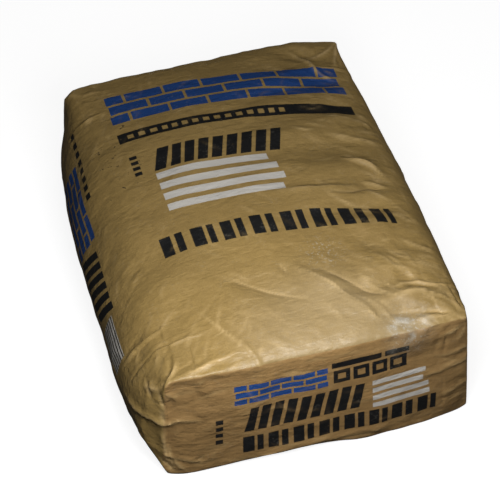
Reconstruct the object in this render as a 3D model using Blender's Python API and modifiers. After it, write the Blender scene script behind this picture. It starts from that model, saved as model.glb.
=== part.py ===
"""A 25 kg cement sack lying on its back: kraft paper, pasted block bottoms, a flat valve at one corner.

+X runs across the sack, +Y along it from the closed bottom end to the valve end, and +Z is up.
The origin is on the floor, under the middle of the sack. All sizes are in metres.
"""

import math

import bmesh
import bpy
from mathutils import Vector

# The filled sack, measured over its paper.
CORNER_LENGTH = 0.435  # between the folded corners of the two ends
END_WIDTH = 0.302  # across an end, from corner fold to corner fold
END_HEIGHT = 0.127  # up an end, from its lower fold to its upper one
CROWN = 0.026  # how far the top swells above the ends' upper folds
LEFT_BULGE = 0.028  # how far the left side swells past the corner folds
NEAR_FULLNESS = 21  # how closely the left side's swelling keeps up to the -Y end, as a power
FAR_FULLNESS = 4
SLUMP = 0.28  # how much fuller the left side is low down than high up
RIGHT_BULGE = 0.018
END_BULGE_LOW = 0.015  # how far an end swells outwards at its lower fold
END_BULGE_HIGH = 0.006
LEFT_FLARE = 0.008  # how far the left corner folds lean out towards the floor
END_FLARE = 0.0025  # how far the ends lean out towards the floor
SHOULDER_DROP = 0.0045  # how far the long upper edges sag at mid length
UNDER_LIFT = 0.013  # how far the long lower edges curl up off the floor
HEEL_LIFT = 0.001  # how far an end's lower fold stands off the floor
PRESSED = 0.0006  # how much of the underside the weight presses flat

# Where the block is cut before it is filled out, as shares of its half width, length and height.
CUTS_ACROSS = (-0.86, -0.5, 0.0, 0.5, 0.86)
CUTS_ALONG = (-0.95, -0.84, -0.4, 0.4, 0.84, 0.95)
CUTS_UP = (-0.8, -0.35, 0.2, 0.75)
SMOOTHING = 2
CORNER_FOLD_CREASE = 0.85  # the upright folds at the four corners
END_FOLD_CREASE = 0.3  # the level folds along an end

# The sheets pasted over the ends, and the valve between the sack and the upper one.
GAP = 0.0003
CAP_SHEET = 0.0008  # the cover sheet, with the tucks that it is pasted to
CAP_WIDTH = 0.284
CAP_LOW = 0.009  # its lower and upper edges, above the floor
CAP_HIGH = 0.114
SLEEVE_SHEET = 0.0008  # the valve sleeve, pressed flat
SLEEVE_LENGTH = 0.068  # from its pasted root to the corner fold
SLEEVE_MOUTH = 0.010  # how far its mouth stands out past the corner fold
SLEEVE_LOW = 0.018
SLEEVE_HIGH = 0.100
SLEEVE_STEP = 0.006  # the width over which the cover sheet climbs onto the sleeve
CORNER_ROUND = 0.005  # how far short of the corner fold the sleeve leaves the sack

KRAFT = (0.33, 0.225, 0.105)
CAP_KRAFT = (0.34, 0.22, 0.115)
SLEEVE_KRAFT = (0.42, 0.31, 0.17)
KRAFT_ROUGHNESS = 0.55


def clear_scene():
    for obj in list(bpy.data.objects):
        bpy.data.objects.remove(obj, do_unlink=True)


def collection(name):
    made = bpy.data.collections.new(name)
    bpy.context.scene.collection.children.link(made)
    return made


def kraft_paper(name, colour):
    material = bpy.data.materials.new(name)
    material.use_nodes = True
    shader = material.node_tree.nodes["Principled BSDF"]
    shader.inputs["Base Color"].default_value = (*colour, 1)
    shader.inputs["Roughness"].default_value = KRAFT_ROUGHNESS
    shader.inputs["Metallic"].default_value = 0
    return material


def filled_out(a, b, c):
    """Where a point of the empty block goes when the sack is full. a, b and c run from -1 to 1."""
    level = (c + 1) / 2
    if a > 0:
        belly = RIGHT_BULGE * (1 - b**4)
        flare = 0
    else:
        fullness = NEAR_FULLNESS if b < 0 else FAR_FULLNESS
        belly = LEFT_BULGE * (1 - abs(b) ** fullness) * (1 - SLUMP * c)
        flare = LEFT_FLARE * (1 - level)
    x = a * (END_WIDTH / 2 + flare + belly * (1 - c * c))
    end_bulge = (1 - a**4) * (END_BULGE_LOW * (1 - level) + END_BULGE_HIGH * level)
    y = b * (CORNER_LENGTH / 2 + END_FLARE * (1 - level) + end_bulge)
    crown = CROWN * (1 - a * a) * math.sqrt(1 - b * b)
    top = END_HEIGHT + crown - SHOULDER_DROP * (1 - b**4) * a * a
    on_rim = abs(a) == 1 or abs(b) == 1
    under = UNDER_LIFT * (1 - b**4) * a * a + HEEL_LIFT * b * b if on_rim else 0
    return Vector((x, y, under * (1 - level) + top * level))


def sack_mesh():
    """A block cut at its stations and filled out, with the folds of its block bottoms creased."""
    cage = bmesh.new()
    bmesh.ops.create_cube(cage, size=2)
    for axis, cuts in enumerate((CUTS_ACROSS, CUTS_ALONG, CUTS_UP)):
        normal = Vector([float(axis == n) for n in range(3)])
        for cut in cuts:
            everything = cage.verts[:] + cage.edges[:] + cage.faces[:]
            bmesh.ops.bisect_plane(cage, geom=everything, plane_co=normal * cut, plane_no=normal)
    crease = cage.edges.layers.float.new("crease_edge")
    for edge in cage.edges:
        one, two = (v.co for v in edge.verts)
        at_end = one.y == two.y and abs(one.y) == 1
        if at_end and one.x == two.x and abs(one.x) == 1:
            edge[crease] = CORNER_FOLD_CREASE
        elif at_end and one.z == two.z and abs(one.z) == 1:
            edge[crease] = END_FOLD_CREASE
    for vertex in cage.verts:
        vertex.co = filled_out(*vertex.co)
    mesh = bpy.data.meshes.new("sack_body")
    cage.to_mesh(mesh)
    cage.free()
    return mesh


def sack_body(parts):
    sack = bpy.data.objects.new("sack_body", sack_mesh())
    parts.objects.link(sack)
    paper = sack.modifiers.new("paper", "SUBSURF")
    paper.levels = paper.render_levels = SMOOTHING
    sack.data.materials.append(kraft_paper("sack_kraft", KRAFT))
    for face in sack.data.polygons:
        face.use_smooth = True
    return sack


def settle(sack):
    """Presses the smoothed sack flat where it lies, and centres its box on the origin.

    Gives the place across where the middle of its ends comes to lie.
    """
    bpy.context.view_layer.update()
    smoothed = sack.evaluated_get(bpy.context.evaluated_depsgraph_get())
    mesh = bpy.data.meshes.new_from_object(smoothed)
    sack.modifiers.clear()
    sack.data = mesh
    across = [vertex.co.x for vertex in mesh.vertices]
    along = [vertex.co.y for vertex in mesh.vertices]
    middle = (min(across) + max(across)) / 2
    for vertex in mesh.vertices:
        vertex.co.x -= middle
        vertex.co.y -= (min(along) + max(along)) / 2
        vertex.co.z = max(0, vertex.co.z - PRESSED)
    return -middle


def cut_away(skin, place, outward):
    """Cuts a skin by the plane through a place, and removes what lies on the outward side."""
    everything = skin.verts[:] + skin.edges[:] + skin.faces[:]
    bmesh.ops.bisect_plane(skin, geom=everything, plane_co=place, plane_no=outward, clear_outer=True)


def end_skin(sack, side, across, up):
    """A copy of the sack's skin at one end, side -1 or 1, between two places across and two up."""
    skin = bmesh.new()
    skin.from_mesh(sack.data)
    cut_away(skin, (across[0], 0, 0), (-1, 0, 0))
    cut_away(skin, (across[1], 0, 0), (1, 0, 0))
    cut_away(skin, (0, 0, up[0]), (0, 0, -1))
    cut_away(skin, (0, 0, up[1]), (0, 0, 1))
    cut_away(skin, (0, side * CORNER_LENGTH * 0.4, 0), (0, -side, 0))
    return skin


def stand_off(skin, distance):
    """Moves a skin's points out along its normals, by a distance worked out from their place across."""
    skin.normal_update()
    for vertex, normal in [(v, v.normal.copy()) for v in skin.verts]:
        vertex.co += normal * distance(vertex.co.x)


def sheet(parts, name, skin, thickness, colour):
    """A sheet of paper whose inner face is the skin."""
    mesh = bpy.data.meshes.new(name)
    skin.to_mesh(mesh)
    skin.free()
    made = bpy.data.objects.new(name, mesh)
    parts.objects.link(made)
    solid = made.modifiers.new("sheet", "SOLIDIFY")
    solid.thickness = thickness
    solid.offset = 1
    made.data.materials.append(kraft_paper(f"{name}_kraft", colour))
    return made


def bottom_cap(parts, sack, middle):
    """The cover sheet pasted over the closed end."""
    across = middle - CAP_WIDTH / 2, middle + CAP_WIDTH / 2
    skin = end_skin(sack, -1, across, (CAP_LOW, CAP_HIGH))
    stand_off(skin, lambda x: GAP)
    sheet(parts, "bottom_cap", skin, CAP_SHEET, CAP_KRAFT)


def valve_sleeve(parts, sack, middle):
    """The flat sleeve that the sack was filled through, its mouth standing out past the corner fold."""
    corner = middle + END_WIDTH / 2
    across = corner - SLEEVE_LENGTH, corner - CORNER_ROUND
    skin = end_skin(sack, 1, across, (SLEEVE_LOW, SLEEVE_HIGH))
    stand_off(skin, lambda x: GAP)
    outer = max(v.co.x for v in skin.verts) - 2 * GAP
    rim = [e for e in skin.edges if e.is_boundary and min(v.co.x for v in e.verts) > outer]
    mouth = bmesh.ops.extrude_edge_only(skin, edges=rim)
    for vertex in mouth["geom"]:
        if isinstance(vertex, bmesh.types.BMVert):
            vertex.co.x = corner + SLEEVE_MOUTH
    sheet(parts, "valve_sleeve", skin, SLEEVE_SHEET, SLEEVE_KRAFT)


def top_cap(parts, sack, middle):
    """The cover sheet pasted over the filling end, which climbs onto the valve sleeve."""
    across = middle - CAP_WIDTH / 2, middle + CAP_WIDTH / 2
    skin = end_skin(sack, 1, across, (CAP_LOW, CAP_HIGH))
    root = middle + END_WIDTH / 2 - SLEEVE_LENGTH
    foot, head = root - SLEEVE_STEP, root - SLEEVE_STEP / 3
    for cut in (foot, head):
        everything = skin.verts[:] + skin.edges[:] + skin.faces[:]
        bmesh.ops.bisect_plane(skin, geom=everything, plane_co=(cut, 0, 0), plane_no=(1, 0, 0))
    lift = SLEEVE_SHEET + GAP
    stand_off(skin, lambda x: GAP + lift * min(1, max(0, (x - foot) / (head - foot))))
    sheet(parts, "top_cap", skin, CAP_SHEET, CAP_KRAFT)


def main():
    clear_scene()
    parts = collection("cement_sack")
    sack = sack_body(parts)
    middle = settle(sack)
    bottom_cap(parts, sack, middle)
    valve_sleeve(parts, sack, middle)
    top_cap(parts, sack, middle)


main()
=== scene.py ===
import math

import bmesh
import bpy
import numpy as np
from mathutils import Matrix, Vector, noise
from mathutils.bvhtree import BVHTree
from mathutils.geometry import barycentric_transform


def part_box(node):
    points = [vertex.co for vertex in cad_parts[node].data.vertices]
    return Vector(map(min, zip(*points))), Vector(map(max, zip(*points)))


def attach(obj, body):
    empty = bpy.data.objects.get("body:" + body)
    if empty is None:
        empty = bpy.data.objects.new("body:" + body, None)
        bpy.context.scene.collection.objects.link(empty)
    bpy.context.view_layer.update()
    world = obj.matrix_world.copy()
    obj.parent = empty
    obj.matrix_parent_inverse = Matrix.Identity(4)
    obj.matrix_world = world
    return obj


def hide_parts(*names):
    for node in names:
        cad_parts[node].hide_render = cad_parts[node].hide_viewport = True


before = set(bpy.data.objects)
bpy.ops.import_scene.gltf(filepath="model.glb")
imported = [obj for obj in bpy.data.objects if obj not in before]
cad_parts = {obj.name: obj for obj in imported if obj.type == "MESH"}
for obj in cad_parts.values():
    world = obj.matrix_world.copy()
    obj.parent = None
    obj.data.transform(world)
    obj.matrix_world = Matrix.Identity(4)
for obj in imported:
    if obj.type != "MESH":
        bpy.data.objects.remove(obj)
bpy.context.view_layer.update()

# The camera
# It stands a little to the left of the closed end and looks down on the sack at 44 degrees.
# Its lens is long, so the sides of the sack hardly draw together. The image is 500 pixels square.
IMAGE_SIDE = 500
FOCAL_PIXELS = 2179.5
SENSOR_WIDTH = 36
AZIMUTH = math.radians(-14.74)
ELEVATION = math.radians(44.15)
ROLL = math.radians(-1.365)
DISTANCE = 2.2755
AIM_SHIFT = Vector((-0.0093, 0.0372, 0))
AIM = Vector((0.0068, -0.0005, 0))

backwards = Vector((
    math.sin(AZIMUTH) * math.cos(ELEVATION),
    -math.cos(AZIMUTH) * math.cos(ELEVATION),
    math.sin(ELEVATION),
))
rightwards = Vector((math.cos(AZIMUTH), math.sin(AZIMUTH), 0))
upwards = backwards.cross(rightwards)
level_view = Matrix((rightwards, upwards, backwards)).transposed()
turned = level_view @ Matrix.Rotation(ROLL, 3, "Z")
camera = bpy.data.objects.new("camera", bpy.data.cameras.new("camera"))
bpy.context.scene.collection.objects.link(camera)
camera.data.sensor_width = SENSOR_WIDTH
camera.data.lens = FOCAL_PIXELS / IMAGE_SIDE * SENSOR_WIDTH
camera.matrix_world = Matrix.LocRotScale(AIM + turned @ (AIM_SHIFT + Vector((0, 0, DISTANCE))), turned, None)
bpy.context.scene.camera = camera

# The filled sack
# A tube of two or three plies of brown kraft paper, its ends folded into blocks and pasted, full of
# settled cement. The paper is taut over the fill, and what it has to spare stands up in creases.
END_WIDTH = 0.302
CORNER_LENGTH = 0.435
END_HEIGHT = 0.127
CROWN = 0.026
LEFT_BULGE = 0.028
NEAR_FULLNESS = 21
FAR_FULLNESS = 4
SLUMP = 0.28
RIGHT_BULGE = 0.018
END_BULGE_LOW = 0.015
END_BULGE_HIGH = 0.006
LEFT_FLARE = 0.008
END_FLARE = 0.0025
SHOULDER_DROP = 0.0045
LEFT_SQUARENESS = 6
RIGHT_SQUARENESS = 14
UNDER_LIFT = 0.013
HEEL_LIFT = 0.001
CORNER_FOLD_CREASE = 0.85
SOFT_FOLD_CREASE = 0.5
END_FOLD_CREASE = 0.3
PRESSED = 0.0006
STATIONS = ((-0.86, -0.5, 0.0, 0.5, 0.86), (-0.95, -0.84, -0.4, 0.4, 0.84, 0.95), (-0.8, -0.35, 0.2, 0.75))
SMOOTHING = 4
CELLS = (18, 25, 7)
FINENESS = 3
SIDE_GIRTH = 0.14
NEAR_CHART = 1.0
FAR_CHART = 1.0
UNDER_CHART = 2.0
TOP, LEFT, UNDER, RIGHT, NEAR_END, FAR_END = range(6)


def rolled_in(a, b, c):
    """How far the paper rolls in towards the middle where the top turns down to a side, as a share."""
    squareness = np.where(a < 0, LEFT_SQUARENESS, RIGHT_SQUARENESS)
    high = np.maximum(c, 0)
    rounded = (np.maximum(np.abs(a), high) ** squareness + np.minimum(np.abs(a), high) ** squareness)
    share = np.maximum(np.abs(a), high) / np.maximum(rounded, 1e-30) ** (1 / squareness)
    return 1 - (1 - share) * (1 - b**12)


def filled_out(a, b, c):
    """Where a point of the empty block goes when the sack is full. a, b and c run from -1 to 1."""
    on_rim = abs(a) == 1 or abs(b) == 1
    if c > 0:
        share = float(rolled_in(a, b, c))
        a, c = a * share, c * share
    level = (c + 1) / 2
    if a > 0:
        belly = RIGHT_BULGE * (1 - b**4)
        flare = 0
    else:
        fullness = NEAR_FULLNESS if b < 0 else FAR_FULLNESS
        belly = LEFT_BULGE * (1 - abs(b) ** fullness) * (1 - SLUMP * c)
        flare = LEFT_FLARE * (1 - level)
    x = a * (END_WIDTH / 2 + flare + belly * (1 - c * c))
    end_bulge = (1 - a**4) * (END_BULGE_LOW * (1 - level) + END_BULGE_HIGH * level)
    y = b * (CORNER_LENGTH / 2 + END_FLARE * (1 - level) + end_bulge)
    crown = CROWN * (1 - a * a) * math.sqrt(max(0, 1 - b * b))
    top = END_HEIGHT + crown - SHOULDER_DROP * (1 - b**4) * a * a
    under = UNDER_LIFT * (1 - b**4) * a * a + HEEL_LIFT * b * b if on_rim else 0
    return Vector((x, y, under * (1 - level) + top * level))


def closer_at_rims(count):
    """Cuts from -1 to 1, a little closer together near the rims, where the sack is rounded."""
    evenly = [-1 + 2 * n / count for n in range(1, count)]
    return [0.7 * t + 0.3 * math.sin(t * math.pi / 2) for t in evenly]


def block_side(face):
    """Which side of the block a face of its cage is on."""
    middle = face.calc_center_median()
    axis = max(range(3), key=lambda n: abs(middle[n]))
    return ((LEFT, RIGHT), (NEAR_END, FAR_END), (UNDER, TOP))[axis][middle[axis] > 0]


def block(name, cuts):
    """The empty block, two units wide, long and high, cut into cells, with its folds creased."""
    cage = bmesh.new()
    bmesh.ops.create_cube(cage, size=2)
    for axis, places in enumerate(cuts):
        normal = Vector([float(axis == n) for n in range(3)])
        for place in places:
            everything = cage.verts[:] + cage.edges[:] + cage.faces[:]
            bmesh.ops.bisect_plane(cage, geom=everything, plane_co=normal * place, plane_no=normal)
    crease = cage.edges.layers.float.new("crease_edge")
    for edge in cage.edges:
        one, two = (v.co for v in edge.verts)
        at_end = one.y == two.y and abs(one.y) == 1
        if at_end and one.x == two.x and abs(one.x) == 1:
            edge[crease] = SOFT_FOLD_CREASE if one.x < 0 and one.y < 0 else CORNER_FOLD_CREASE
        elif at_end and one.z == two.z and abs(one.z) == 1:
            edge[crease] = END_FOLD_CREASE
    side = cage.faces.layers.int.new("side")
    for face in cage.faces:
        face[side] = block_side(face)
    share = cage.verts.layers.float_vector.new("share")
    for vertex in cage.verts:
        vertex[share] = vertex.co
    made = bpy.data.objects.new(name, bpy.data.meshes.new(name))
    cage.to_mesh(made.data)
    cage.free()
    bpy.context.scene.collection.objects.link(made)
    return made


def applied(piece):
    """Makes what a piece's modifiers do part of its mesh."""
    bpy.context.view_layer.update()
    finished = piece.evaluated_get(bpy.context.evaluated_depsgraph_get())
    piece.data = bpy.data.meshes.new_from_object(finished)
    piece.modifiers.clear()


def divided(piece, kind, levels):
    """Divides a piece's faces. Catmull and Clark's way smooths it, and the simple way keeps its shape."""
    rounding = piece.modifiers.new("rounding", "SUBSURF")
    rounding.subdivision_type = kind
    rounding.levels = rounding.render_levels = levels
    applied(piece)


def read(mesh, attribute, width, domain_size):
    """An attribute of a mesh as an array with one row for each point, corner or face."""
    values = np.empty(domain_size * width, dtype=np.float32)
    field = {1: "value", 3: "vector"}[width]
    mesh.attributes[attribute].data.foreach_get(field, values)
    return values.reshape(domain_size, width).astype(float)


# The smooth filled form, and the fine mesh of the paper that is laid over it
form = block("filled_form", STATIONS)
for vertex in form.data.vertices:
    vertex.co = filled_out(*vertex.co)
divided(form, "CATMULL_CLARK", SMOOTHING)
form.data.calc_loop_triangles()
triangles = [t.vertices[:] for t in form.data.loop_triangles]
form_places = [v.co.copy() for v in form.data.vertices]
form_shares = [Vector(s) for s in read(form.data, "share", 3, len(form_places))]
bpy.data.objects.remove(form)

sack = block("sack_paper", [closer_at_rims(count) for count in CELLS])
divided(sack, "SIMPLE", FINENESS)
shares = read(sack.data, "position", 3, len(sack.data.vertices))
by_share = BVHTree.FromPolygons(form_shares, triangles)
points = []
for share in shares:
    nearest, _, index, _ = by_share.find_nearest(Vector(share))
    flat = [form_shares[n] for n in triangles[index]]
    filled = [form_places[n] for n in triangles[index]]
    points.append(barycentric_transform(nearest, *flat, *filled))
points = np.array(points)
cad_low, cad_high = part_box("sack_body")
for axis in (0, 1):
    middle = (points[:, axis].min() + points[:, axis].max()) / 2
    points[:, axis] += (cad_low[axis] + cad_high[axis]) / 2 - middle
points[:, 2] = np.maximum(points[:, 2] - PRESSED, 0)
sack.data.attributes["position"].data.foreach_set("vector", points.astype(np.float32).ravel())
sack.data.update()
outwards = np.array([v.normal[:] for v in sack.data.vertices])
near_end = points[points[:, 1] < cad_low.y + 0.03, 0]
ends_middle = (near_end.min() + near_end.max()) / 2

# The sack's creases
# Where the block's corners pull on the paper, its spare width stands up in sharp folds. The long ones are
# listed one by one, and many short ones come from handling and stacking.
MM = 0.001
# The pale marks along the creases stand for wear and for a painted highlight on their crests.
WORN_AND_LIT_WIDTH = 1.6  # how far from a crest the paper is rubbed, in millimetres
FULLY_WORN_AND_LIT = 1.5  # the height from which a crease is worn all the way, in millimetres


def smooth_path(corners, steps=6):
    """Points along a smooth curve through the corners, by Catmull and Rom's formula."""
    ends = [2 * corners[0] - corners[1], *corners, 2 * corners[-1] - corners[-2]]
    path = []
    for before, start, stop, after in zip(ends, ends[1:], ends[2:], ends[3:]):
        for step in range(steps):
            t = step / steps
            bend = 2 * before - 5 * start + 4 * stop - after
            twist = 3 * start - before - 3 * stop + after
            path.append(start + 0.5 * ((stop - before) * t + bend * t**2 + twist * t**3))
    return np.array(path + [corners[-1]])


def crease(corners, width, height, lean=0.0, ends=(0, 0), least_wear_and_highlight=0.0):
    """Adds one crease to the relief, and to the pale marks of wearing and of painted highlight. Its crest
    runs through the corners.

    All its sizes are in millimetres, and a negative height makes a valley. lean, from -1 to 1, makes one
    flank steeper than the other. ends says what share of its size is left at its first and at its last
    corner, and the last argument, from 0 to 1, how pale its crest is at the least, from wearing and a
    painted highlight.
    """
    width, height = width * MM, height * MM
    path = smooth_path([np.array(c, dtype=float) * MM for c in corners])
    low, high = path.min(axis=0) - width, path.max(axis=0) + width
    near = np.nonzero(((wavering > low) & (wavering < high)).all(axis=1))[0]
    if not len(near):
        return
    here, normal = wavering[near], outwards[near]
    best = np.full(len(near), np.inf)
    aside = np.zeros(len(near))
    along = np.zeros(len(near))
    lengths = np.linalg.norm(np.diff(path, axis=0), axis=1)
    passed = np.concatenate(([0], np.cumsum(lengths)))
    for start, stop, length, before in zip(path, path[1:], lengths, passed):
        run = (stop - start) / length
        step = np.clip((here - start) @ run, 0, length)
        off = here - start - step[:, None] * run
        distance = np.linalg.norm(off, axis=1)
        closer = distance < best
        best[closer] = distance[closer]
        aside[closer] = np.sign((off * np.cross(normal, run)).sum(axis=1))[closer]
        along[closer] = (before + step)[closer] / passed[-1]
    strength = np.interp(along, (0, 0.45, 0.55, 1), (ends[0], 1, 1, ends[1]))
    strength = np.where(strength < 1, strength * strength * (3 - 2 * strength), 1)
    flank = width * (1 + lean * aside) * (0.3 + 0.7 * strength)
    rise = np.clip(1 - best / flank, 0, 1) ** 1.7
    relief[near] += height * rise * strength
    # Higher creases are paler along their crests: partly wear, partly a painted highlight.
    least_wear_and_highlight = max(least_wear_and_highlight, min(1, abs(height) / (FULLY_WORN_AND_LIT * MM)))
    worn_and_lit = np.exp(-((best / (WORN_AND_LIT_WIDTH * MM)) ** 2)) * strength * least_wear_and_highlight
    wear_and_highlight[near] = np.maximum(wear_and_highlight[near], worn_and_lit)


def wavy(scale, seed, octaves=2, heading=Vector()):
    """Smooth random values from about -1 to 1 over the sack, drawn out along a heading."""
    offset = Vector((seed * 7.3, seed * 3.1, seed * 5.7))
    places = points - 0.6 * np.outer(points @ np.array(heading), heading)
    return np.array([noise.fractal(Vector(p) * scale + offset, 1.0, 2.0, octaves) for p in places])


relief = np.zeros(len(points))
wear_and_highlight = np.zeros(len(points))
WAVER = 0.0012  # how far a crest strays from its smooth path
wavering = points + WAVER * np.stack([wavy(38, seed, 2) for seed in (1, 2, 3)], axis=1)

# Each crease: its corners, its width and height, its lean, and the share of its size left at its two
# ends, where it doesn't run out to nothing
LONG_CREASES = (
    # The right shoulder, where the top pulls down to the side
    (((96, 19, 138), (109, 14, 136), (123, 7, 133), (133, -4, 130), (143, -19, 127)), 11, 3.6, 0.5),
    (((10, -18, 147), (36, -20, 146), (65, -24, 144), (92, -24, 140), (120, -19, 135)), 14, 3.0, -0.5),
    (((60, -32, 144), (92, -33, 140), (118, -30, 135), (140, -38, 129)), 12, -2.2, 0.4),
    (((108, -16, 137), (124, -24, 133), (140, -32, 129)), 9, 2.6, 0.4),
    (((130, -48, 131), (139, -62, 129), (147, -78, 126)), 7, 1.7, 0.3),
    (((95, 62, 139), (120, 52, 134), (146, 44, 127)), 12, 1.3, 0.3, (0, 1)),
    (((90, 92, 138), (120, 84, 132), (150, 74, 124)), 12, 1.2, -0.3, (0, 1)),
    (((118, -100, 132), (134, -112, 129), (150, -120, 124)), 8, 1.0, 0.3, (0, 1)),
    # The top's soft rolls, from the middle to the near right
    (((-74, -104, 139), (-38, -132, 142), (-5, -157, 141), (24, -176, 139)), 20, -2.2, 0.3),
    (((2, -114, 145), (32, -150, 141), (60, -190, 135), (72, -212, 130)), 24, 2.6, -0.4),
    (((28, -128, 143), (67, -163, 138), (96, -184, 134)), 16, -2.4, 0.3),
    (((-4, -112, 145), (2, -133, 143)), 6, -0.9, 0.0),
    (((-98, -135, 134), (-76, -178, 134), (-54, -214, 128)), 9, 0.9, 0.4),
    (((-64, -196, 134), (-55, -220, 126)), 6, 0.9, 0.4, (0, 1)),
    # The folds that gather into the near right corner
    (
        ((70, -186, 136), (96, -182, 134), (120, -180, 131), (143, -193, 127), (156, -215, 122)),
        9, 2.6, 0.4, (0, 0.3),
    ),
    (((84, -170, 136), (112, -164, 132), (138, -172, 128), (152, -196, 124)), 7, 1.6, 0.3, (0, 0.2)),
    (((60, -200, 135), (92, -196, 134), (123, -203, 130), (156, -215, 122)), 12, -3.0, -0.3, (0, 0.2)),
    (((92, -213, 130), (118, -211, 129), (140, -212, 126), (156, -215, 122)), 9, 2.4, 0.3, (0, 0.3)),
    (((112, -221, 122), (136, -217, 123), (156, -215, 122)), 6, -1.4, 0.2, (0, 0.2)),
    (((120, -224, 108), (140, -220, 114), (156, -215, 122)), 7, 1.6, 0.3, (0, 0.3)),
    (((138, -222, 96), (148, -219, 108), (156, -215, 122)), 6, 1.0, -0.3, (0, 0.3)),
    # The near left shoulder and corner
    (((-170, -145, 76), (-156, -149, 104), (-141, -150, 122), (-122, -143, 129)), 8, 2.4, 0.6),
    (
        ((-163, -178, 90), (-150, -184, 114), (-136, -180, 125), (-128, -166, 128), (-133, -150, 126)),
        8, -1.8, 0.2,
    ),
    (((-166, -170, 84), (-155, -176, 106), (-141, -170, 122)), 7, 1.6, 0.4),
    (((-165, -184, 88), (-154, -200, 108), (-143, -217, 121)), 6, 1.6, 0.4, (0, 0.2)),
    (((-143, -217, 121), (-131, -205, 125), (-124, -188, 128)), 6, 1.2, 0.4, (0.2, 0)),
    (((-143, -217, 121), (-118, -214, 125), (-92, -208, 129), (-62, -205, 131)), 8, 1.2, 0.4, (0.2, 0)),
    (((-158, -60, 102), (-144, -52, 120), (-128, -40, 127)), 7, 1.2, 0.4),
    (((-158, -92, 102), (-142, -76, 121), (-122, -54, 128)), 7, 1.4, 0.4),
    (((-162, -116, 96), (-148, -102, 117), (-130, -84, 127)), 7, 1.0, 0.4),
    # The crimps under the near left corner
    (((-160, -182, 98), (-154, -194, 105), (-146, -209, 116), (-136, -219, 119)), 5, -2.4, 0.4, (0.2, 0)),
    (((-158, -189, 94), (-151, -203, 104), (-144, -214, 111)), 5, 1.8, -0.3, (0, 0.2)),
    (((-157, -187, 100), (-155, -197, 100), (-153, -208, 96)), 5, -1.5, 0.3, (0.4, 0)),
    (((-150, -207, 111), (-148, -215, 100), (-145, -219, 84)), 5, -1.8, 0.4, (0.4, 0)),
    (((-146, -215, 112), (-138, -221, 104), (-134, -222, 92)), 5, 1.3, 0.3),
    # The near left side and the corner fold below it
    (((-172, -160, 62), (-169, -185, 68), (-158, -210, 72), (-147, -219, 70)), 5, 1.7, 0.5, (0, 0.8)),
    (((-147, -219, 70), (-135, -221, 73), (-122, -224, 71), (-104, -226, 68)), 4.5, 1.1, 0.4, (0.8, 0)),
    (((-147, -219, 96), (-149, -218, 82), (-147, -219, 70)), 5, -1.4, 0.2, (0, 0.5)),
    (((-147, -219, 66), (-149, -218, 52), (-146, -220, 34)), 4, 1.2, 0.0),
    (((-170, -186, 44), (-158, -208, 34), (-146, -221, 27)), 5, 1.0, 0.6, (0, 0.7)),
    (((-146, -221, 27), (-130, -225, 20), (-108, -228, 13)), 5, 1.0, 0.6, (0.7, 0)),
    (((-152, -216, 24), (-147, -221, 14), (-138, -223, 4)), 6, -1.6, 0.0, (0.5, 0)),
    (((-140, -222, 24), (-136, -223, 14), (-126, -225, 4)), 5, 1.2, 0.0, (0.5, 0)),
    # The near end, right
    (((96, -227, 62), (125, -225, 66), (155, -219, 72)), 6, 1.0, 0.4, (0, 1)),
    (((112, -226, 88), (134, -223, 84), (156, -218, 88)), 6, 0.8, 0.4, (0, 1)),
    (((118, -226, 32), (138, -223, 36), (156, -219, 42)), 7, 0.8, -0.3, (0, 1)),
    (((-110, -230, 13), (-50, -232, 10), (20, -232, 10), (80, -230, 12), (140, -222, 17)), 6, 1.5, 0.5),
    # The right side, where the shoulder's folds run out, and its sag between the ends
    (((160, -120, 112), (168, -104, 84), (169, -80, 52), (164, -58, 26)), 11, 2.6, 0.4),
    (((163, -28, 108), (170, -22, 80), (170, -2, 50)), 10, 2.4, -0.4),
    (((163, 36, 110), (171, 28, 84), (171, 40, 58), (166, 62, 32)), 11, 2.4, 0.4),
    (((160, 118, 108), (168, 104, 78), (167, 112, 46)), 10, 2.2, -0.3),
    (((157, -190, 60), (164, -150, 54), (168, -100, 40)), 9, 2.2, 0.5),
    (((157, 196, 84), (164, 160, 70), (168, 120, 66)), 9, 2.2, 0.5),
    (((157, 206, 34), (163, 170, 40), (167, 120, 30)), 8, 1.8, 0.4),
    # The far end
    (((-120, 226, 84), (-70, 231, 78), (-10, 232, 84)), 8, 1.2, 0.4),
    (((-140, 222, 36), (-80, 231, 40), (-20, 232, 30)), 8, 1.4, -0.4),
    # The far right corner
    (((93, 213, 130), (112, 186, 132), (120, 164, 132), (144, 138, 126)), 8, 1.6, 0.4),
    (((156, 216, 121), (138, 198, 127), (118, 190, 131), (98, 196, 132)), 7, 1.4, 0.3, (1, 0)),
    (((156, 216, 121), (146, 186, 126), (138, 160, 128)), 7, 1.2, 0.3, (1, 0)),
    # The far left corner and shoulder, and the streaks along it
    (((-146, 206, 119), (-152, 170, 112), (-156, 130, 106)), 3.5, 0.9, 0.4),
    (((-134, 196, 126), (-141, 158, 122), (-150, 120, 114)), 3.5, 0.9, 0.4),
    (((-126, 190, 128), (-133, 162, 126), (-142, 140, 120)), 3.0, 0.7, 0.4),
    (((-152, 108, 111), (-156, 80, 108), (-161, 40, 103)), 3.5, 0.8, 0.4),
    (((-112, 20, 134), (-130, -10, 127), (-146, -48, 119)), 3.5, 0.9, 0.4),
    (((-104, 6, 136), (-120, -24, 131), (-136, -64, 124)), 3.5, 0.8, 0.4),
    (((-96, -14, 138), (-110, -44, 134), (-124, -86, 129)), 3.0, 0.7, 0.4),
    (((-138, 210, 124), (-125, 203, 128), (-100, 203, 130)), 4, 0.9, 0.4, (1, 0)),
    (((-140, 214, 122), (-138, 198, 125), (-143, 184, 121)), 6, 1.2, 0.3, (1, 0)),
    (((-154, 135, 106), (-146, 137, 117), (-132, 136, 125)), 4, 0.9, 0.4),
    (((-156, 168, 96), (-142, 160, 120), (-120, 156, 128)), 4, 0.6, -0.4),
)
for fold in LONG_CREASES:
    crease(*fold)
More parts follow.
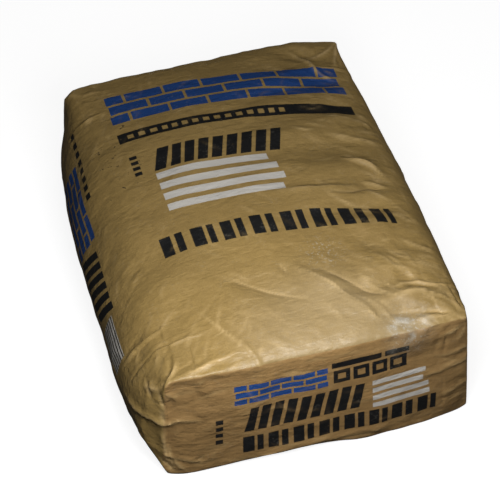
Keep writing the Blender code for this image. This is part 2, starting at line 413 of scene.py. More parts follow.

# The upright folds of the closed end, and the fold round its left corner, which are rubbed pale and given a
# painted highlight
RUBBED_AND_LIT_FOLDS = (
    ((-147, -220, 68), (-148, -220, 46), (-147, -221, 28), (-145, -222, 8)),
    ((-144, -221, 40), (-143, -222, 26), (-141, -222, 8)),
    ((-147, -219, 112), (-148, -219, 92), (-147, -219, 72)),
    ((-172, -160, 62), (-169, -185, 68), (-158, -210, 72), (-147, -219, 70), (-135, -221, 73)),
    ((156, -216, 118), (157, -219, 80), (157, -220, 30)),
)
for corners in RUBBED_AND_LIT_FOLDS:
    crease(corners, 4, 0.3, 0.0, (0.3, 0.6), 1.0)

# The soft unevenness of the fill, and rolls of paper across the right half of the top. The fill has
# given way under the long creases too, by half of their height.
FILL_UNEVENNESS = 0.0018
ROLL_HEIGHT, ROLL_SPACING = 0.0022, 0.050
unevenness = FILL_UNEVENNESS * wavy(11, 4)
across_top = np.clip((points[:, 0] - 0.01) / 0.08, 0, 1) * np.clip((points[:, 2] - 0.11) / 0.02, 0, 1)
rolls = np.sin(points[:, 1] * 2 * math.pi / ROLL_SPACING + 3 * wavy(9, 5))
unevenness += ROLL_HEIGHT * across_top * rolls
unevenness += 0.5 * relief


def short_crease(start, heading, length, bow, width, height, lean):
    """Adds a crease that starts at a point of the paper and runs a little bowed along a heading."""
    way = heading - outwards[start] * (heading @ outwards[start])
    way *= length / np.linalg.norm(way)
    middle = points[start] + way / 2 + np.cross(outwards[start], way) * bow
    crease([points[start] / MM, middle / MM, (points[start] + way) / MM], width, height, lean)


# Short creases from handling, more of them near the ends
random = np.random.default_rng(25)
SHORT_CREASES = 420
for _ in range(SHORT_CREASES):
    start = random.integers(len(points))
    if points[start, 2] < 0.004 or random.random() > 0.25 + abs(points[start, 1] / 0.22) ** 3 * 0.75:
        continue
    length = random.uniform(0.010, 0.045)
    heading = random.normal(size=3) + (0.8, -0.9, 0.0)
    bow = random.uniform(-0.2, 0.2)
    size = random.uniform(0.3, 1.0)
    height = random.choice((-1, 1)) * 0.6 * size
    short_crease(start, heading, length, bow, 2.5 + 4 * size, height, random.uniform(-0.5, 0.5))

# Fine creases where the weight pulls the paper: towards the near corners over the top, over the right
# shoulder, and level along the ends. Each group has its middle and its reach in millimetres, a
# heading, how many creases it has, and the greatest height of one.
PULLED_WIDTH = 4.5
PULLED = (
    ((105, 0, 135), (45, 190, 30), (0.9, -0.42, 0), 90, 1.1),
    ((105, -165, 130), (55, 55, 30), (0.72, -0.69, 0), 70, 1.2),
    ((-100, -170, 130), (60, 55, 30), (-0.6, -0.8, 0), 45, 0.8),
    ((0, -90, 145), (80, 90, 20), (0.7, -0.7, 0), 35, 0.6),
    ((-110, 150, 125), (50, 70, 40), (-0.55, -0.83, 0), 30, 0.7),
    ((10, -230, 65), (150, 20, 60), (1, 0, 0.05), 60, 0.5),
    ((10, 230, 65), (150, 20, 60), (1, 0, 0.05), 30, 0.5),
    ((165, 0, 70), (20, 220, 60), (0.1, 0.9, 0.4), 40, 0.6),
    ((-165, 20, 70), (20, 200, 60), (0.1, 0.9, 0.4), 30, 0.5),
)
for middle, group_reach, heading, count, greatest in PULLED:
    inside = (np.abs(points / MM - middle) < group_reach).all(axis=1) & (points[:, 2] > 0.004)
    for start in random.choice(np.nonzero(inside)[0], count):
        length = random.uniform(0.015, 0.060)
        way = np.array(heading) + random.normal(size=3) * 0.16
        bow = random.uniform(-0.12, 0.12)
        height = greatest * (random.uniform(0.35, 1.0) * random.choice((-0.7, 1)))
        short_crease(start, way, length, bow, PULLED_WIDTH, height, random.uniform(-0.6, 0.6))

# The facets of paper that has been crumpled and pulled flat again: flat patches between sharp lines.
# On the top they run across the far half, and down to the right over the near half.
ACROSS = Vector((0.98, -0.17, 0))
DOWN_RIGHT = Vector((0.58, -0.81, 0))
DOWN_LEFT = Vector((-0.2, -0.6, -0.77))
near_half = np.clip((-0.06 - points[:, 1]) / 0.06, 0, 1)
far_half = 1 - near_half
taut = np.clip(-points[:, 0] / 0.05, 0, 1) * np.clip((points[:, 1] + 0.14) / 0.06, 0, 1)
patches = np.clip(0.6 + 0.5 * wavy(7, 12), 0.15, 1.2) * (0.65 + 0.6 * across_top) * (1 - 0.45 * taut)
for scale, height, seed, heading, where in (
    (17, 0.0050, 13, ACROSS, far_half), (17, 0.0050, 13, DOWN_RIGHT, near_half),
    (30, 0.0026, 14, ACROSS, far_half), (30, 0.0026, 14, DOWN_RIGHT, near_half),
    (24, 0.0010, 15, DOWN_LEFT, 1), (50, 0.0008, 16, ACROSS, 1), (85, 0.0004, 17, DOWN_LEFT, 1),
):
    relief += height * (0.25 - np.abs(wavy(scale, seed, 2, heading))) * patches * where

# The pasted folds of the ends are never straight: their edges are crushed and a little wavy
CRUSHED_WIDTH = 0.009
from_end = (1 - np.abs(shares[:, 1])) * CORNER_LENGTH / 2
for level, scale, height in ((1, 55, 0.0012), (-1, 22, 0.0022)):
    from_fold = np.hypot(from_end, (1 - level * shares[:, 2]) * END_HEIGHT / 2)
    relief += height * np.exp(-((from_fold / CRUSHED_WIDTH) ** 2)) * wavy(scale, 21, 2)

# The paper takes up its spare length
# Round each corner the paper has more width than the fill needs, and along each edge a little more
# length. A sheet hardly stretches, so the spare part buckles into folds that run away from the corner
# or across the edge. Each round sets every short piece of paper back to its own length.
SPARE_ALL_OVER = 0.0012
SPARE_AT_CORNERS, CORNER_REACH = 0.045, 0.055
SPARE_AT_SHOULDERS, SHOULDER_REACH = 0.018, 0.036
SPARE_AT_END_FOLDS, FOLD_REACH = 0.014, 0.028
FAR_CORNER_SHARE = 0.5
SPARE_INSET = 0.01
DEEPEST, HIGHEST = -0.003, 0.005
ROUNDS = 160
MOMENTUM = 0.92
STIFFNESS = 0.30
PULL = 0.7
LINKS = 8
HOLD_OF_FILL = 0.0004
FIRST_WAVES = 0.0022


def joined(pairs, size):
    """For each point, the points that the pairs join it to. A short row is filled up with itself."""
    both = np.concatenate([pairs, pairs[:, ::-1]])
    both = both[np.argsort(both[:, 0], kind="stable")]
    first = np.searchsorted(both[:, 0], np.arange(len(points)))
    table = np.repeat(np.arange(len(points))[:, None], size, axis=1)
    table[both[:, 0], np.arange(len(both)) - first[both[:, 0]]] = both[:, 1]
    return table


def spare_share(middles, directions):
    """How much longer than the fill the paper is, at a place and in a direction."""
    spare = np.full(middles.shape[:-1], SPARE_ALL_OVER)
    for x in (ends_middle - END_WIDTH / 2, ends_middle + END_WIDTH / 2):
        for y in (-CORNER_LENGTH / 2, CORNER_LENGTH / 2):
            for z in (0.0, END_HEIGHT):
                out = middles - (x, y, z)
                reach = np.linalg.norm(out, axis=-1) + 1e-9
                along = (out * directions).sum(axis=-1) / reach
                nearness = np.exp(-((reach / CORNER_REACH) ** 2))
                corner_share = FAR_CORNER_SHARE if y > 0 else 1.0
                spare += corner_share * SPARE_AT_CORNERS * nearness * (1 - along**2)
    up = np.clip(middles[..., 2] / END_HEIGHT, 0, 1)
    from_shoulder = (np.abs(middles[..., 0] - ends_middle) - END_WIDTH / 2 + SPARE_INSET) / SHOULDER_REACH
    from_fold = (np.abs(middles[..., 1]) - CORNER_LENGTH / 2 + SPARE_INSET) / FOLD_REACH
    spare += SPARE_AT_SHOULDERS * np.exp(-(from_shoulder**2)) * up * directions[..., 1] ** 2
    spare += SPARE_AT_END_FOLDS * np.exp(-(from_fold**2)) * up * directions[..., 0] ** 2
    return spare * np.clip(middles[..., 2] / 0.01, 0, 1)


def crumpled(filled, rounds):
    """The shape that paper takes which is a little longer than the filled shape."""
    mesh = sack.data
    edges = np.empty(len(mesh.edges) * 2, dtype=np.int32)
    mesh.edges.foreach_get("vertices", edges)
    quads = np.empty(len(mesh.loops), dtype=np.int32)
    mesh.loops.foreach_get("vertex_index", quads)
    quads = quads.reshape(-1, 4)
    beside = joined(edges.reshape(-1, 2), LINKS // 2)
    across_quads = np.concatenate([quads[:, ::2], quads[:, 1::2]])
    links = np.hstack([beside, joined(across_quads, LINKS // 2)])
    apart = filled[links] - filled[:, None]
    lengths = np.linalg.norm(apart, axis=-1)
    real = lengths > 0
    directions = apart / np.maximum(lengths, 1e-9)[..., None]
    rest = lengths * (1 + spare_share(filled[:, None] + apart / 2, directions))
    normals = outwards.astype(np.float32)
    filled, rest = filled.astype(np.float32), rest.astype(np.float32)
    waves = FIRST_WAVES * wavy(20, 8, 3)
    shape = filled + normals * waves[:, None].astype(np.float32)
    before = shape
    for turn in range(rounds):
        stiffness = STIFFNESS * (1 - turn / rounds) ** 2
        shape, before = shape + MOMENTUM * (shape - before), shape
        apart = shape[links] - shape[:, None]
        lengths = np.sqrt((apart * apart).sum(axis=-1))
        strain = np.where(real, (lengths - rest) / np.maximum(lengths, 1e-9), 0)
        shape = shape + PULL / LINKS * (apart * strain[..., None]).sum(axis=1)
        moved = shape - filled
        bent = moved[beside].mean(axis=1) - moved
        shape = shape + stiffness * 0.5 * (bent - bent[beside].mean(axis=1)) - HOLD_OF_FILL * moved
        height = ((shape - filled) * normals).sum(axis=-1)
        shape = shape + normals * (np.clip(height, DEEPEST, HIGHEST) - height)[:, None]
    return shape.astype(float)


# The paper is taut over the rims of the sides, so its folds run out before them. It is calmer on the
# sides too, and under the far end of the print.
PRINT_END = np.array((0.085, 0.110, 0.138))
aside = np.clip((np.abs(points[:, 0] - ends_middle) - 0.115) / 0.03, 0, 1)
rim = np.clip((points[:, 2] - 0.085) / 0.02, 0, 1)
on_left_side = np.where(points[:, 0] < ends_middle, 0.35, 1)
calm = 1 - aside * (0.25 + 0.5 * rim) * on_left_side
calm *= 1 - 0.55 * np.exp(-((np.linalg.norm(points - PRINT_END, axis=1) / 0.045) ** 2))
relief *= calm
unevenness *= calm
smooth = points + outwards * unevenness[:, None]
points = crumpled(smooth, ROUNDS)
points += outwards * relief[:, None]

# Blows and the weight of other sacks have pressed the corners flat. Each has a place in millimetres
# that the flattened paper goes through, the way it faces, and how far its pressing reaches.
FLATTENED = 0.8
BLOWS = (
    ((-142, 215, 119), (-0.66, 0.40, 0.64), 300),
    ((-144, -216, 121), (-0.55, -0.45, 0.70), 300),
    ((-166, -201, 38), (-0.906, -0.155, -0.393), 300),
    ((-152, -220, 5), (-0.78, -0.42, -0.46), 300),
    ((154, -219, 60), (0.96, -0.27, 0.05), 300),
    ((-50, -230, 7), (0.016, -0.711, -0.704), 85),
)
for place, facing, reach in BLOWS:
    facing = np.array(facing) / np.linalg.norm(facing)
    apart = points - np.array(place) * MM
    nearness = np.exp(-(((apart / (reach * MM)) ** 2).sum(axis=1) ** 2))
    beyond = np.maximum(apart @ facing, 0)
    points -= (FLATTENED * nearness * beyond)[:, None] * facing
points[:, 2] = np.maximum(points[:, 2], 0)

mesh = sack.data
mesh.attributes["position"].data.foreach_set("vector", points.astype(np.float32).ravel())
mesh.update()
# The pale marks of wear and painted highlight, handed to the finish.
worn_and_lit = mesh.attributes.new("wear_and_highlight", "FLOAT", "POINT")
worn_and_lit.data.foreach_set("value", wear_and_highlight.astype(np.float32))
mesh.shade_smooth()

# The paper's own coordinates, in metres: across the sheet and along it, counted from the middle of
# the top. Each end and the underside has a chart of its own, a whole metre away from the tube's.
corner_point = np.empty(len(mesh.loops), dtype=np.int32)
mesh.loops.foreach_get("vertex_index", corner_point)
face_side = np.empty(len(mesh.polygons), dtype=np.int32)
mesh.attributes["side"].data.foreach_get("value", face_side)
face_size = np.empty(len(mesh.polygons), dtype=np.int32)
mesh.polygons.foreach_get("loop_total", face_size)
corner_side = np.repeat(face_side, face_size)
place, share = points[corner_point], shares[corner_point]
half = END_WIDTH / 2
below = (1 - share[:, 2]) / 2 * SIDE_GIRTH
on_left, on_right = corner_side == LEFT, corner_side == RIGHT
rolled = half * share[:, 0] * rolled_in(share[:, 0], share[:, 1], share[:, 2])
across_paper = np.select([on_left, on_right], [rolled - below, rolled + below], rolled) + ends_middle
along_paper = np.select(
    [corner_side == NEAR_END, corner_side == FAR_END, corner_side == UNDER],
    [place[:, 2] - NEAR_CHART, place[:, 2] + FAR_CHART, place[:, 1] + UNDER_CHART],
    place[:, 1],
)
paper = mesh.uv_layers.new(name="paper")
paper.data.foreach_set("uv", np.stack([across_paper, along_paper], axis=1).astype(np.float32).ravel())

# The sack's finish
# Unbleached kraft paper, a little glossy, rubbed pale along its folds with a painted highlight on their
# crests, and dusted with cement. A painted sheen lies over the top along the closed end. The tube was
# printed flat, on the top and on the left side, in blue, black and white.


class Shade:
    """A socket of a material. Python's operators on it add Math nodes, and node adds any other."""

    def __init__(self, tree, socket=None):
        self.tree = tree
        self.socket = socket

    def node(self, kind, settings, *values, output=None, **named):
        """Adds a node of a kind, with its settings, and the values or links of its sockets."""
        made = self.tree.nodes.new(f"ShaderNode{kind}")
        for setting, value in settings.items():
            setattr(made, setting, value)
        sockets = [socket for socket in made.inputs if socket.enabled]
        given = list(zip(sockets, values))
        for name, value in named.items():
            spoken = name.replace("_", " ")
            given.append((next(s for s in sockets if s.name == spoken), value))
        for socket, value in given:
            if isinstance(value, Shade):
                self.tree.links.new(value.socket, socket)
            else:
                socket.default_value = value
        results = [socket for socket in made.outputs if socket.enabled]
        chosen = next((s for s in results if s.name == output), results[0])
        return Shade(self.tree, chosen)

    def maths(self, operation, *values):
        return self.node("Math", {"operation": operation}, *values)

    def __add__(self, other):
        return self.maths("ADD", self, other)

    __radd__ = __add__

    def __sub__(self, other):
        return self.maths("SUBTRACT", self, other)

    def __rsub__(self, other):
        return self.maths("SUBTRACT", other, self)

    def __mul__(self, other):
        return self.maths("MULTIPLY", self, other)

    __rmul__ = __mul__

    def __truediv__(self, other):
        return self.maths("DIVIDE", self, other)

    def __mod__(self, other):
        return self.maths("FLOORED_MODULO", self, other)

    def __or__(self, other):
        return self.maths("MAXIMUM", self, other)

    def __and__(self, other):
        return self.maths("MINIMUM", self, other)

    def rising(self, low, high):
        """0 below low, 1 above high, and a smooth rise between."""
        ramp = {"interpolation_type": "SMOOTHSTEP"}
        return self.node("MapRange", ramp, self, low, high, 0.0, 1.0)

    def between(self, low, high, blur=0.0004):
        """1 from low to high, and 0 outside."""
        return self.rising(low - blur, low + blur) - self.rising(high - blur, high + blur)

    def mixed(self, first, second):
        """A colour that goes from the first to the second as this goes from 0 to 1."""
        return self.node("Mix", {"data_type": "RGBA"}, self, first, second)


def noise_at(place, scale, detail=2, stretch=(1, 1, 1), rough=0.5):
    """Noise from 0 to 1 at a place, in metres. stretch makes it longer along an axis."""
    squeezed = place.node("VectorMath", {"operation": "MULTIPLY"}, place, tuple(1 / s for s in stretch))
    noisy = {"noise_dimensions": "3D"}
    return place.node("TexNoise", noisy, Vector=squeezed, Scale=scale, Detail=detail, Roughness=rough)


BLACK_INK = (0.003, 0.003, 0.003, 1)
BLUE_INK = (0.007, 0.052, 0.215, 1)
WHITE_INK = (0.560, 0.530, 0.480, 1)
DUST_AND_SHEEN = (0.50, 0.46, 0.38, 1)
END_TINT = (1.0, 0.91, 1.05)
ROTATED_GRAIN = 0.65
PRINT_SLANT = 0.085
DUST_MIDDLE = (0.094, -0.214, 0.122)
DUST_REACH = 0.034
GRIT_MIDDLE = (0.042, -0.112, 0.146)
GRIT_REACH = 0.030
# The painted sheen over the top along the closed end: its middle and its reach.
SHEEN_MIDDLE = (0.02, -0.215, 0.13)
SHEEN_REACH = 0.12


def close_to(place, middle, inner, outer):
    """1 within the inner distance of a place on the sack, and 0 beyond the outer one."""
    distance = place.node("VectorMath", {"operation": "DISTANCE"}, place, middle, output="Value")
    return 1 - distance.rising(inner, outer)


def block_of_ink(across, along, left, right, low, high):
    """A printed rectangle in the sheet's coordinates, given in millimetres."""
    return across.between(left * MM, right * MM) * along.between(low * MM, high * MM)


def bars(across, along, left, right, low, high, count, start, stop):
    """A printed rectangle divided into bars side by side, each inked between two shares of its width."""
    pitch = (right - left) / count * MM
    inked = ((across - left * MM) % pitch).between(start * pitch, stop * pitch)
    return block_of_ink(across, along, left, right, low, high) * inked


def stripes(across, along, left, ends, top, spacing, height):
    """Printed stripes under one another. They start level at the left, and each has its own end."""
    tops = [top - spacing * row for row in range(len(ends))]
    return sum(block_of_ink(across, along, left, end, t - height, t) for end, t in zip(ends, tops))


def wall(across, along, left, right, low, high, columns, rows, joint):
    """A printed wall of whole bricks, with halves at the ends of every second row."""
    corner = across.node("CombineXYZ", {}, across - left * MM, along - low * MM)
    courses = {"offset": 0.5, "offset_frequency": 2, "squash": 1.0}
    joints = across.node(
        "TexBrick", courses, output="Fac", Vector=corner, Scale=1.0, Mortar_Size=joint * MM,
        Mortar_Smooth=0.1, Brick_Width=(right - left) / columns * MM, Row_Height=(high - low) / rows * MM,
    )
    return block_of_ink(across, along, left, right, low, high) * (1 - joints)


def kraft(name, colour, printing=None):
    """A finish of brown kraft paper: fibres, clouds, cockles, creases pale from wearing and a painted
    highlight, a painted sheen, and what is printed.
    """
    material = bpy.data.materials.new(name)
    material.use_nodes = True
    tree = material.node_tree
    surface = tree.nodes["Principled BSDF"]
    empty = Shade(tree)
    place = empty.node("TexCoord", {}, output="Object")
    sheet = empty.node("UVMap", {"uv_map": "paper"})
    across = sheet.node("SeparateXYZ", {}, sheet, output="X")
    along = sheet.node("SeparateXYZ", {}, sheet, output="Y")
    rubbed_and_lit = empty.node("Attribute", {"attribute_name": "wear_and_highlight"}, output="Fac")

    clouds = noise_at(place, 14, 3)
    mottle = noise_at(place, 150, 4, rough=0.7)
    fibres = noise_at(place, 900, 2, stretch=(0.6, 2.2, 1))
    on_end = (1 - along.rising(-0.6, -0.5)) | along.rising(0.5, 0.6)
    paper = on_end.mixed((*colour, 1), (*(c * t for c, t in zip(colour, END_TINT)), 1))
    tone = 0.42 + 0.34 * clouds + 0.46 * mottle + 0.36 * fibres
    paper = tone.node("VectorMath", {"operation": "SCALE"}, paper, Scale=tone)
    # Paler on the creases: wear, and a painted highlight along their crests.
    paper = (0.9 * rubbed_and_lit).mixed(paper, (*(min(1, 1.7 * c + 0.08) for c in colour), 1))
    inked = 0.0
    if printing:
        paper, inked = printing(paper, across, along, mottle, rubbed_and_lit)
    specks = noise_at(place, 420, 2).rising(0.56, 0.66)
    drifts = noise_at(place, 55, 3).rising(0.46, 0.66)
    patch = close_to(place, DUST_MIDDLE, 0.008, DUST_REACH)
    # A painted sheen: the top along the closed end made paler, in the colour of the dust.
    painted_sheen = close_to(place, SHEEN_MIDDLE, 0.04, SHEEN_REACH) * (1 - on_end) * (0.04 + 0.16 * clouds)
    grit = close_to(place, GRIT_MIDDLE, 0.006, GRIT_REACH) * specks * 0.45
    # Real dust and grit, with the painted sheen added in.
    dust_and_sheen = patch * (0.12 + 0.55 * drifts + 0.40 * specks) + 0.08 * specks * drifts + grit + painted_sheen
    paper = (dust_and_sheen & 1.0).mixed(paper, DUST_AND_SHEEN)
    tree.links.new(paper.socket, surface.inputs["Base Color"])
    gloss = 0.40 + 0.22 * mottle - 0.06 * clouds + 0.16 * inked
    tree.links.new(gloss.socket, surface.inputs["Roughness"])
    cockles = noise_at(place, 48, 3, stretch=(1.8, 0.8, 0.8), rough=0.6)
    folded = (cockles - 0.5) | (0.5 - cockles)
    crepe = noise_at(place, 260, 2, stretch=(5, 1, 0.8))
    turned_place = place.node("VectorRotate", {"rotation_type": "Z_AXIS"}, Vector=place, Angle=ROTATED_GRAIN)
    drawn = noise_at(turned_place, 120, 2, stretch=(7, 1, 1)) * (1 - on_end)
    height = 0.7 * mottle + 0.3 * fibres + 0.5 * crepe + 0.8 * drawn - 5.0 * folded + 1.2 * cockles
    bump = height.node("Bump", {}, Strength=0.8, Distance=0.0006, Height=height)
    tree.links.new(bump.socket, surface.inputs["Normal"])
    surface.inputs["IOR"].default_value = 1.55
    return material


def printed_on(paper, blue, white, black, mottle, rubbed_and_lit):
    """The paper with its three inks on, and where they are. Ink is thin in places, and scuffed off the
    folds, where a highlight is painted too.
    """
    sound = 1 - rubbed_and_lit * 0.55 - mottle.rising(0.62, 0.78) * 0.30
    for ink, colour in ((blue, BLUE_INK), (white, WHITE_INK), (black, BLACK_INK)):
        paper = (ink * sound).mixed(paper, colour)
    return paper, blue + black + white


def sack_print(paper, across, along, mottle, rubbed_and_lit):
    """The print on the top and the left side: plain blocks, bars and stripes, and no lettering."""
    level = along + PRINT_SLANT * across
    blue = wall(across, level, -120, 133, 132, 181, 6, 3, 1.6)
    rule = block_of_ink(across, level, -120, 133, 101, 116)
    windows = bars(across, level, -112, 62, 105.5, 111.5, 15, 0.22, 0.78)
    tilted = across - 0.3 * (level - 47 * MM)
    heading = bars(tilted, level, -98, 38, 47, 78, 9, 0.14, 0.86)
    tally = bars(level, across, 46, 78, -116, -108, 4, 0.2, 0.8)
    white = stripes(across, level, -96, (20, 26, 29, 24), 43, 16, 9.5)
    wide = bars(across, level, -118, 128, -74, -48, 8, 0.06, 0.44)
    narrow = bars(across, level, -118, 128, -74, -48, 8, 0.58, 0.82)
    spatter = mottle.rising(0.63, 0.66) * block_of_ink(across, along, -140, -104, 40, 140)
    left_blue = wall(along, across, 20, 132, -228, -182, 3, 4, 1.6)
    left_bars = bars(along, across, 66, 172, -175, -165, 8, 0.2, 0.8)
    left_tilted = along + 0.3 * (across + 205 * MM)
    left_block = bars(left_tilted, across, -76, 12, -228, -189, 6, 0.17, 0.83)
    panel = block_of_ink(along, across, -138, -82, -228, -197)
    panel_lines = bars(across, along, -228, -197, -138, -82, 6, 0.33, 0.67)
    white = white + panel * (1 - panel_lines)
    black = rule * (1 - windows) + heading + tally + wide + narrow + left_bars + left_block + panel_lines
    return printed_on(paper, blue + left_blue, white, black | spatter, mottle, rubbed_and_lit)


KRAFT = (0.312, 0.205, 0.066)
sack.data.materials.clear()
sack.data.materials.append(kraft("kraft_sack", KRAFT, sack_print))

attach(sack, "root")
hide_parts("sack_body")

# The cover sheet of the closed end
# One more ply of kraft paper, cut to a rectangle and pasted over the folded tucks of the end. It is
# printed with a smaller copy of the top's print, and follows every crease of the sack under it.
PLY = 0.00015
PASTE = 0.0001
COVER_WIDTH = 0.284
COVER_LOW, COVER_HIGH = 0.009, 0.114
SHARP = math.radians(50)


def end_skin(side, across, up):
    """A copy of the creased paper at one end of the sack, cut square between two places each way."""
    skin = bmesh.new()
    skin.from_mesh(sack.data)
    at_end = skin.faces.layers.int["side"]
    bmesh.ops.delete(skin, geom=[f for f in skin.faces if f[at_end] != side], context="FACES")
    for place, outward in (
        ((across[0], 0, 0), (-1, 0, 0)), ((across[1], 0, 0), (1, 0, 0)),
        ((0, 0, up[0]), (0, 0, -1)), ((0, 0, up[1]), (0, 0, 1)),
    ):
        everything = skin.verts[:] + skin.edges[:] + skin.faces[:]
        bmesh.ops.bisect_plane(skin, geom=everything, plane_co=place, plane_no=outward, clear_outer=True)
    skin.normal_update()
    return skin


def paper_sheet(name, skin, lift, finish, node):
    """A pasted sheet of paper: the skin, lifted off along its normals and given its thickness."""
    for vertex, normal in [(v, v.normal.copy()) for v in skin.verts]:
        vertex.co += normal * lift(vertex.co)
    made = bpy.data.objects.new(name, bpy.data.meshes.new(name))
    skin.to_mesh(made.data)
    skin.free()
    bpy.context.scene.collection.objects.link(made)
    ply = made.modifiers.new("ply", "SOLIDIFY")
    ply.thickness = PLY
    ply.offset = 1
    applied(made)
    made.data.shade_smooth()
    made.data.set_sharp_from_angle(angle=SHARP)
    made.data.materials.clear()
    made.data.materials.append(finish)
    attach(made, "root")
    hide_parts(node)


def cover_print(paper, across, along, mottle, rubbed_and_lit):
    """The print on the closed end's cover sheet: the top's pattern again, at half its size."""
    up = along + NEAR_CHART
    blue = wall(across, up, -89, 3, 82, 106, 4, 3, 1.1)
    rule = block_of_ink(across, up, 7, 58, 103, 110) + block_of_ink(across, up, 62, 86, 103, 110)
    frames = bars(across, up, 7, 86, 84, 100, 4, 0.08, 0.92)
    holes = bars(across, up, 7, 86, 88.5, 95.5, 4, 0.30, 0.70)
    tilted = across - 0.2 * (up - 46 * MM)
    heading = bars(tilted, up, -83, 36, 46, 76, 9, 0.15, 0.85)
    tally = bars(up, across, 33, 69, -106, -99, 4, 0.2, 0.8)
    white = stripes(across, up, 48, (103, 100, 106, 107), 76, 9.2, 5.6)
    wide = bars(across, up, -83, 119, 19, 39, 8, 0.04, 0.46)
    narrow = bars(across, up, -83, 119, 19, 39, 8, 0.58, 0.84)
    black = rule + frames * (1 - holes) + heading + tally + wide + narrow
    return printed_on(paper, blue, white, black, mottle, rubbed_and_lit)


cover_span = ends_middle - COVER_WIDTH / 2, ends_middle + COVER_WIDTH / 2
near_finish = kraft("kraft_near_cover", KRAFT, cover_print)
paper_sheet(
    "bottom_cover", end_skin(NEAR_END, cover_span, (COVER_LOW, COVER_HIGH)),
    lambda place: PASTE, near_finish, "bottom_cap",
)

# The valve sleeve
# A flattened tube of plain kraft paper at a corner of the far end. The sack was filled through it, and
# the weight of the cement has pressed it shut. Its root is pasted under the far end's cover sheet.
SLEEVE_LENGTH = 0.068
SLEEVE_MOUTH = 0.010
SLEEVE_LOW, SLEEVE_HIGH = 0.018, 0.100
SLEEVE_HALF = 0.00055
MOUTH_GAPE = 0.0016
HELD_SHORT = 0.010
MOUTH_WAVE = 0.0012
MOUTH_SLACK = 0.0006
RINGS = 40
RING_POINTS = 56


def sleeve_tube():
    """The flat tube, lofted along the end from its pasted root to its gaping mouth."""
    places = [v.co[:] for v in sack.data.vertices]
    tree = BVHTree.FromPolygons(places, [p.vertices[:] for p in sack.data.polygons])
    corner = ends_middle + END_WIDTH / 2
    root, mouth = corner - SLEEVE_LENGTH, corner + SLEEVE_MOUTH
    held = corner - HELD_SHORT
    middle_height = (SLEEVE_LOW + SLEEVE_HIGH) / 2
    tube = bmesh.new()
    rings = []
    for station in range(RINGS + 1):
        across = root + (mouth - root) * station / RINGS
        open_share = max(0, (across - held) / (mouth - held))
        half_gap = SLEEVE_HALF + MOUTH_GAPE * open_share**1.5
        ring = []
        for step in range(RING_POINTS):
            turn = 2 * math.pi * step / RING_POINTS
            up = max(-1, min(1, 1.12 * math.sin(turn)))
            height = middle_height + up * (SLEEVE_HIGH - SLEEVE_LOW) / 2
            hit = tree.ray_cast(Vector((min(across, held), 1, height)), Vector((0, -1, 0)))[0]
            wave = MOUTH_WAVE * open_share * math.sin(5 * up + 1)
            flat_side = math.copysign(abs(math.cos(turn)) ** 0.5, math.cos(turn))
            out = PASTE + half_gap + wave + flat_side * half_gap
            slack = MOUTH_SLACK * noise.noise(Vector((across * 60, height * 60, 3)))
            ring.append(tube.verts.new((across, hit.y + out + slack * open_share, height)))
        rings.append(ring)
    for ring, following in zip(rings, rings[1:]):
        for n in range(RING_POINTS):
            tube.faces.new((ring[n], ring[n - 1], following[n - 1], following[n]))
    bmesh.ops.recalc_face_normals(tube, faces=tube.faces[:])
    return tube


paper_sheet(
    "valve_flat_sleeve", sleeve_tube(), lambda place: 0.0,
    kraft("kraft_sleeve", (0.400, 0.285, 0.110)), "valve_sleeve",
)

# The cover sheet of the filling end
# The same sheet as at the closed end, but plain. It is pasted over the root of the valve sleeve, and
# climbs onto it in one small step.
SLEEVE_STEP = 0.006
SLEEVE_RISE = 0.0026


def over_sleeve(place):
    """How far the far cover sheet stands off the sack: further where the sleeve is under it."""
    root = ends_middle + END_WIDTH / 2 - SLEEVE_LENGTH
    side_on = min(1, max(0, (place.x - root + SLEEVE_STEP) / SLEEVE_STEP))
    below = min(1, max(0, (place.z - SLEEVE_LOW + SLEEVE_STEP) / SLEEVE_STEP))
    above = min(1, max(0, (SLEEVE_HIGH + SLEEVE_STEP - place.z) / SLEEVE_STEP))
    share = side_on * below * above
    return PASTE + SLEEVE_RISE * share * share * (3 - 2 * share)


paper_sheet(
    "top_cover", end_skin(FAR_END, cover_span, (COVER_LOW, COVER_HIGH)),
    over_sleeve, kraft("kraft_far_cover", (0.318, 0.205, 0.072)), "top_cap",
)

# The floor and the light
# A plain white floor that glows a little, and a pale sky. One soft key lamp hangs above the closed end
# and to its left. A wide fill lamp is overhead, and two low ones light the far end and the right side.
KEY_PLACE = Vector((-0.09, -0.42, 0.52))
KEY_AIM = Vector((0, -0.12, 0.10))
KEY_SIZE = 0.26
KEY_POWER = 3.4
LOW_WIDTH, LOW_HEIGHT = 1.2, 0.10
BACK_PLACE = Vector((0.3, 1.3, 0.055))
BACK_POWER = 4.0
SIDE_PLACE = Vector((1.4, 0.1, 0.055))
SIDE_POWER = 3.0
FILL_PLACE = Vector((0.2, 0.3, 2.0))
FILL_SIZE = 2.5
FILL_POWER = 4.0
SKY = 0.03
FLOOR_HALF = 6
FLOOR_SHADE = 0.30
FLOOR_GLOW = 0.90

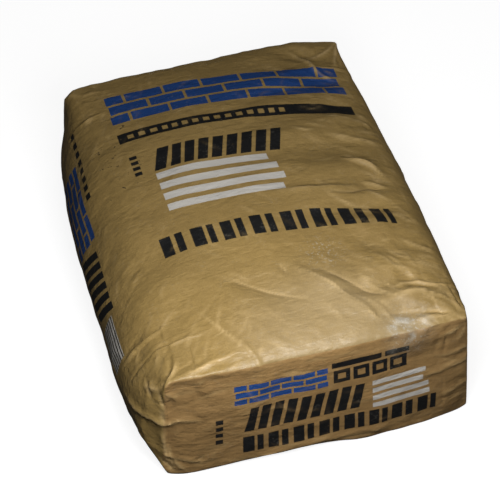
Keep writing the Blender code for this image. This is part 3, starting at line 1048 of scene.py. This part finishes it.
floor_shape = bmesh.new()
bmesh.ops.create_grid(floor_shape, x_segments=1, y_segments=1, size=FLOOR_HALF)
floor = bpy.data.objects.new("floor", bpy.data.meshes.new("floor"))
floor_shape.to_mesh(floor.data)
floor_shape.free()
bpy.context.scene.collection.objects.link(floor)
white = bpy.data.materials.new("floor_white")
white.use_nodes = True
pale = white.node_tree.nodes["Principled BSDF"]
pale.inputs["Base Color"].default_value = (FLOOR_SHADE, FLOOR_SHADE, FLOOR_SHADE, 1)
pale.inputs["Roughness"].default_value = 0.9
pale.inputs["Emission Color"].default_value = (1, 1, 1, 1)
pale.inputs["Emission Strength"].default_value = FLOOR_GLOW
floor.data.materials.append(white)
floor.visible_diffuse = False
floor.visible_glossy = False


def soft_lamp(name, place, aim, width, height, power, shiny):
    """A rectangular lamp that the camera doesn't see. Only a shiny one leaves a glint on the paper."""
    lamp = bpy.data.objects.new(name, bpy.data.lights.new(name, "AREA"))
    lamp.data.shape = "RECTANGLE"
    lamp.data.size = width
    lamp.data.size_y = height
    lamp.data.energy = power
    lamp.visible_glossy = shiny
    lamp.location = place
    lamp.rotation_euler = (place - aim).to_track_quat("Z", "Y").to_euler()
    lamp.visible_camera = False
    bpy.context.scene.collection.objects.link(lamp)


soft_lamp("key", KEY_PLACE, KEY_AIM, KEY_SIZE, KEY_SIZE, KEY_POWER, True)
soft_lamp("fill", FILL_PLACE, Vector(), FILL_SIZE, FILL_SIZE, FILL_POWER, False)
soft_lamp("back", BACK_PLACE, Vector((0, 0, BACK_PLACE.z)), LOW_WIDTH, LOW_HEIGHT, BACK_POWER, False)
soft_lamp("side", SIDE_PLACE, Vector((0, 0, SIDE_PLACE.z)), LOW_WIDTH, LOW_HEIGHT, SIDE_POWER, False)
sky = bpy.data.worlds.new("sky")
sky.use_nodes = True
sky.node_tree.nodes["Background"].inputs["Color"].default_value = (1, 1, 1, 1)
sky.node_tree.nodes["Background"].inputs["Strength"].default_value = SKY
bpy.context.scene.world = sky
bpy.context.scene.view_settings.view_transform = "Standard"
